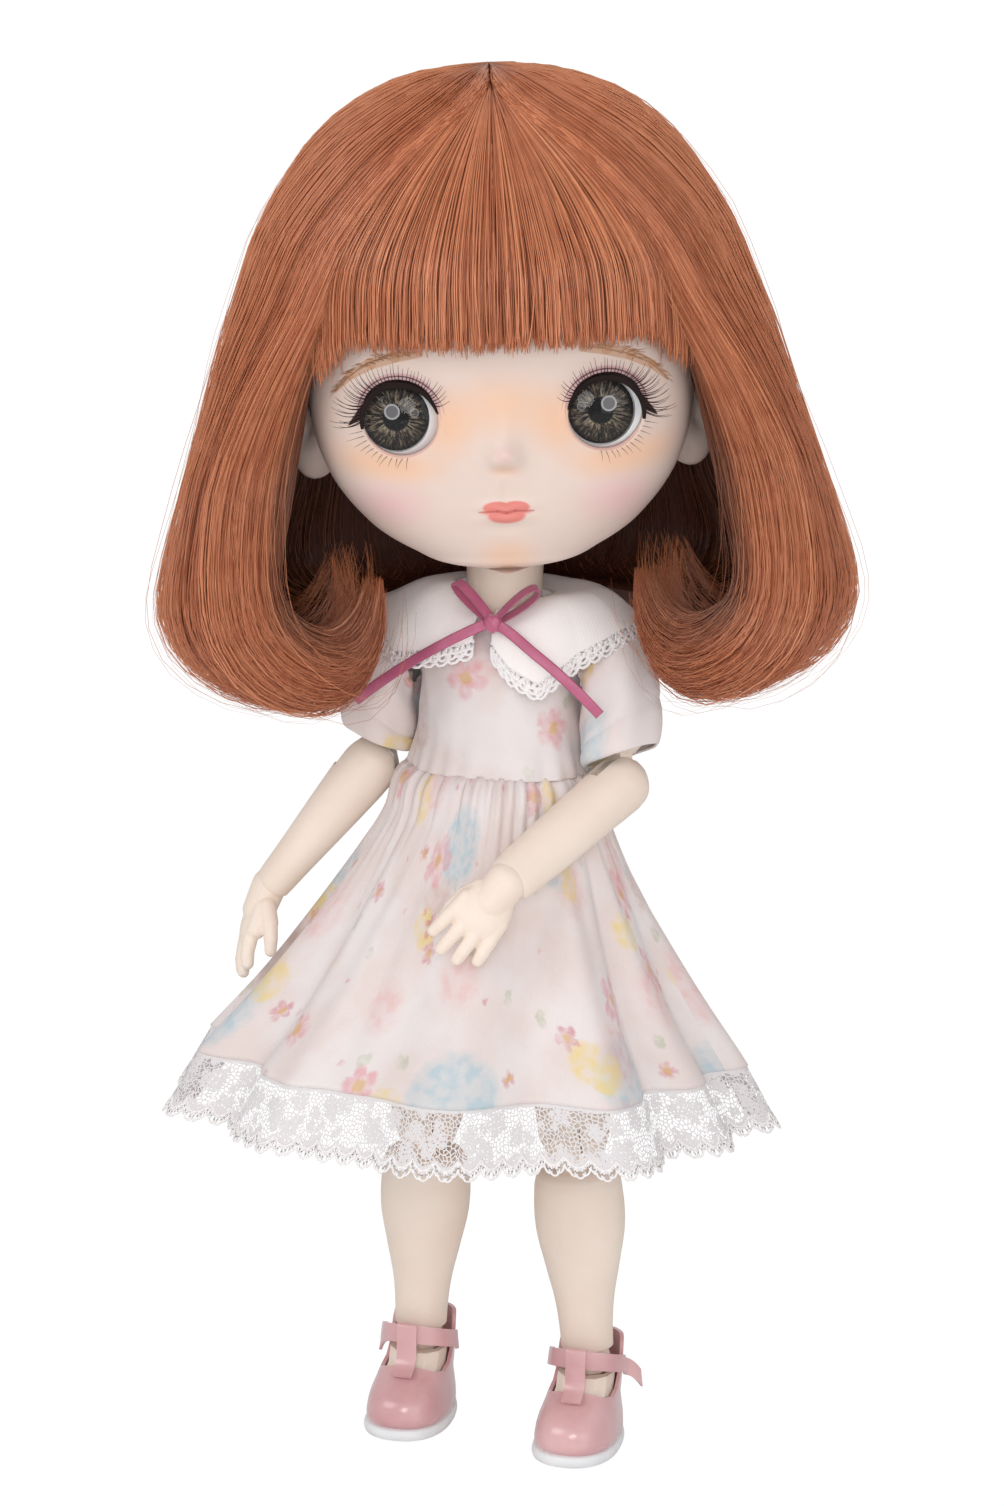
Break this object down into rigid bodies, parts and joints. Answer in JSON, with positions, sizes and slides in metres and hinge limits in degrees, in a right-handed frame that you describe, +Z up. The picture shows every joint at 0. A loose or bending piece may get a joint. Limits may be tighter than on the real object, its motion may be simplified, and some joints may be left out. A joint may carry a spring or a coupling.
{
  "type": "doll",
  "caption": "Jointed standing doll with a large head, glass-look eyes, a removable wig with curled-in ends, a lace-hemmed dress with a ribbon bow, and strap shoes.",
  "frame": {"origin": "on the ground under the middle of the bounding box, where the two soles stand", "axes": "+Z up along the height; the doll faces -Y, and its left side is +X"},
  "size_m": [0.1446, 0.1136, 0.3],
  "materials": {
    "skin": "satin cast plastic",
    "joint": "satin cast plastic",
    "eye_white": "polished",
    "iris": "printed, satin",
    "cornea": "clear polished dome",
    "lash": "fine fibre",
    "hair": "glossy straight synthetic fibre",
    "wig_net": "stretch net",
    "dress": "matte cotton with a small print",
    "collar": "matte cotton",
    "lace": "matte cotton lace",
    "ribbon": "satin ribbon",
    "shoe": "pearly imitation leather",
    "sole": "matte"
  },
  "bodies": {
    "pelvis": {"pelvis": "skin"},
    "waist_ball": {"waist_ball": "joint"},
    "trunk": {"chest": "skin", "bodice": "dress", "skirt": "dress", "lace_hem": "lace", "collar_left": "collar", "collar_right": "collar", "ribbon_bow": "ribbon", "ribbon_tail_left": "ribbon", "ribbon_tail_right": "ribbon"},
    "neck": {"neck": "skin"},
    "neck_knob": {"neck_knob": "joint"},
    "head": {"face_shell": "skin", "head_cap": "skin", "eye_left": "eye_white", "iris_left": "iris", "cornea_left": "cornea", "lash_left": "lash", "eye_right": "eye_white", "iris_right": "iris", "cornea_right": "cornea", "lash_right": "lash", "wig_cap": "wig_net", "wig_left": "hair", "wig_right": "hair", "wig_back": "hair", "wig_fringe": "hair"},
    "shoulder_joint_left": {"shoulder_joint_left": "joint"},
    "upper_arm_left": {"upper_arm_left": "skin", "sleeve_left": "dress"},
    "elbow_joint_left": {"elbow_joint_left": "joint"},
    "forearm_left": {"forearm_left": "skin"},
    "wrist_joint_left": {"wrist_joint_left": "joint"},
    "hand_left": {"hand_left": "skin"},
    "hip_ball_left": {"hip_ball_left": "joint"},
    "thigh_left": {"thigh_left": "skin", "knee_pin_left": "joint"},
    "shin_left": {"shin_left": "skin"},
    "ankle_ball_left": {"ankle_ball_left": "joint"},
    "foot_left": {"foot_left": "skin", "shoe_sole_left": "sole", "shoe_upper_left": "shoe", "shoe_strap_left": "shoe"},
    "shoulder_joint_right": {"shoulder_joint_right": "joint"},
    "upper_arm_right": {"upper_arm_right": "skin", "sleeve_right": "dress"},
    "elbow_joint_right": {"elbow_joint_right": "joint"},
    "forearm_right": {"forearm_right": "skin"},
    "wrist_joint_right": {"wrist_joint_right": "joint"},
    "hand_right": {"hand_right": "skin"},
    "hip_ball_right": {"hip_ball_right": "joint"},
    "thigh_right": {"thigh_right": "skin", "knee_pin_right": "joint"},
    "shin_right": {"shin_right": "skin"},
    "ankle_ball_right": {"ankle_ball_right": "joint"},
    "foot_right": {"foot_right": "skin", "shoe_sole_right": "sole", "shoe_upper_right": "shoe", "shoe_strap_right": "shoe"}
  },
  "joints": [
    {"name": "waist_bend", "type": "hinge", "parent": "pelvis", "child": "waist_ball", "pos_m": [-0.00039, -0.00369, 0.12712], "axis": [1, 0, 0], "range_deg": [-8, 10]},
    {"name": "waist_turn", "type": "hinge", "parent": "waist_ball", "child": "trunk", "pos_m": [-0.00039, -0.00369, 0.12712], "axis": [0, 0, 1], "range_deg": [-20, 20]},
    {"name": "neck_lean", "type": "hinge", "parent": "trunk", "child": "neck", "pos_m": [-0.00039, -0.00369, 0.18112], "axis": [1, 0, 0], "range_deg": [-8, 10], "deforming": ["wig_back"]},
    {"name": "head_turn", "type": "hinge", "parent": "neck", "child": "neck_knob", "pos_m": [-0.00039, -0.00369, 0.20112], "axis": [0, 0, 1], "range_deg": [-60, 28]},
    {"name": "head_tilt", "type": "hinge", "parent": "neck_knob", "child": "head", "pos_m": [-0.00039, -0.00369, 0.20112], "axis": [-0.2924, 0.9563, 0], "range_deg": [-6, 12]},
    {"name": "shoulder_swing_left", "type": "hinge", "parent": "trunk", "child": "shoulder_joint_left", "pos_m": [0.02461, -0.00369, 0.17512], "axis": [-1, 0, 0], "range_deg": [0, 48], "deforming": ["ribbon_tail_left"]},
    {"name": "shoulder_raise_left", "type": "hinge", "parent": "shoulder_joint_left", "child": "upper_arm_left", "pos_m": [0.02461, -0.00369, 0.17512], "axis": [0, -0.9744, 0.225], "range_deg": [0, 50], "deforming": ["wig_left"]},
    {"name": "arm_twist_left", "type": "hinge", "parent": "upper_arm_left", "child": "elbow_joint_left", "pos_m": [0.02814, -0.00935, 0.15061], "axis": [-0.1392, 0.2228, 0.9649], "range_deg": [0, 60]},
    {"name": "elbow_bend_left", "type": "hinge", "parent": "elbow_joint_left", "child": "forearm_left", "pos_m": [0.02814, -0.00935, 0.15061], "axis": [-0.7359, 0.6287, -0.2513], "range_deg": [-2, 28]},
    {"name": "wrist_turn_left", "type": "hinge", "parent": "forearm_left", "child": "wrist_joint_left", "pos_m": [0.0107, -0.03681, 0.13299], "axis": [0.4715, 0.7422, 0.4762], "range_deg": [-30, 30]},
    {"name": "wrist_bend_left", "type": "hinge", "parent": "wrist_joint_left", "child": "hand_left", "pos_m": [0.0107, -0.03681, 0.13299], "axis": [0.5965, -0.6662, 0.4477], "range_deg": [-30, 5]},
    {"name": "hip_swing_left", "type": "hinge", "parent": "pelvis", "child": "hip_ball_left", "pos_m": [0.01411, -0.00169, 0.11412], "axis": [-1, 0, 0], "range_deg": [-14, 20]},
    {"name": "hip_spread_left", "type": "hinge", "parent": "hip_ball_left", "child": "thigh_left", "pos_m": [0.01411, -0.00169, 0.11412], "axis": [0, -0.999, -0.0454], "range_deg": [-2, 18]},
    {"name": "knee_bend_left", "type": "hinge", "parent": "thigh_left", "child": "shin_left", "pos_m": [0.01749, 0.0003, 0.0703], "axis": [0.9971, -0.0035, 0.0766], "range_deg": [0, 80]},
    {"name": "ankle_bend_left", "type": "hinge", "parent": "shin_left", "child": "ankle_ball_left", "pos_m": [0.02144, 0.00263, 0.019], "axis": [0.9971, -0.0035, 0.0766], "range_deg": [-6, 6]},
    {"name": "ankle_roll_left", "type": "hinge", "parent": "ankle_ball_left", "child": "foot_left", "pos_m": [0.02144, 0.00263, 0.019], "axis": [0, 0.999, 0.0454], "range_deg": [-4, 4]},
    {"name": "shoulder_swing_right", "type": "hinge", "parent": "trunk", "child": "shoulder_joint_right", "pos_m": [-0.02539, -0.00369, 0.17512], "axis": [-1, 0, 0], "range_deg": [-20, 48], "deforming": ["ribbon_tail_right"]},
    {"name": "shoulder_raise_right", "type": "hinge", "parent": "shoulder_joint_right", "child": "upper_arm_right", "pos_m": [-0.02539, -0.00369, 0.17512], "axis": [0, 0.9969, -0.0785], "range_deg": [0, 50], "deforming": ["wig_right"]},
    {"name": "arm_twist_right", "type": "hinge", "parent": "upper_arm_right", "child": "elbow_joint_right", "pos_m": [-0.02827, -0.00567, 0.14996], "axis": [-0.1132, -0.078, -0.9905], "range_deg": [-15, 15]},
    {"name": "elbow_bend_right", "type": "hinge", "parent": "elbow_joint_right", "child": "forearm_right", "pos_m": [-0.02827, -0.00567, 0.14996], "axis": [-0.1039, 0.9924, -0.0662], "range_deg": [-3, 52]},
    {"name": "wrist_turn_right", "type": "hinge", "parent": "forearm_right", "child": "wrist_joint_right", "pos_m": [-0.05017, -0.00993, 0.12045], "axis": [0.5921, 0.1152, 0.7976], "range_deg": [-30, 30]},
    {"name": "wrist_bend_right", "type": "hinge", "parent": "wrist_joint_right", "child": "hand_right", "pos_m": [-0.05017, -0.00993, 0.12045], "axis": [0.4895, -0.8376, -0.2424], "range_deg": [-30, 12]},
    {"name": "hip_swing_right", "type": "hinge", "parent": "pelvis", "child": "hip_ball_right", "pos_m": [-0.01489, -0.00169, 0.11412], "axis": [-1, 0, 0], "range_deg": [-14, 20]},
    {"name": "hip_spread_right", "type": "hinge", "parent": "hip_ball_right", "child": "thigh_right", "pos_m": [-0.01489, -0.00169, 0.11412], "axis": [0, 0.9966, 0.0827], "range_deg": [-2, 18]},
    {"name": "knee_bend_right", "type": "hinge", "parent": "thigh_right", "child": "shin_right", "pos_m": [-0.01635, 0.00195, 0.0703], "axis": [0.9995, 0.0027, -0.033], "range_deg": [0, 80]},
    {"name": "ankle_bend_right", "type": "hinge", "parent": "shin_right", "child": "ankle_ball_right", "pos_m": [-0.01806, 0.0062, 0.019], "axis": [0.9995, 0.0027, -0.033], "range_deg": [-6, 6]},
    {"name": "ankle_roll_right", "type": "hinge", "parent": "ankle_ball_right", "child": "foot_right", "pos_m": [-0.01806, 0.0062, 0.019], "axis": [0, 0.9966, 0.0827], "range_deg": [-4, 4]}
  ]
}
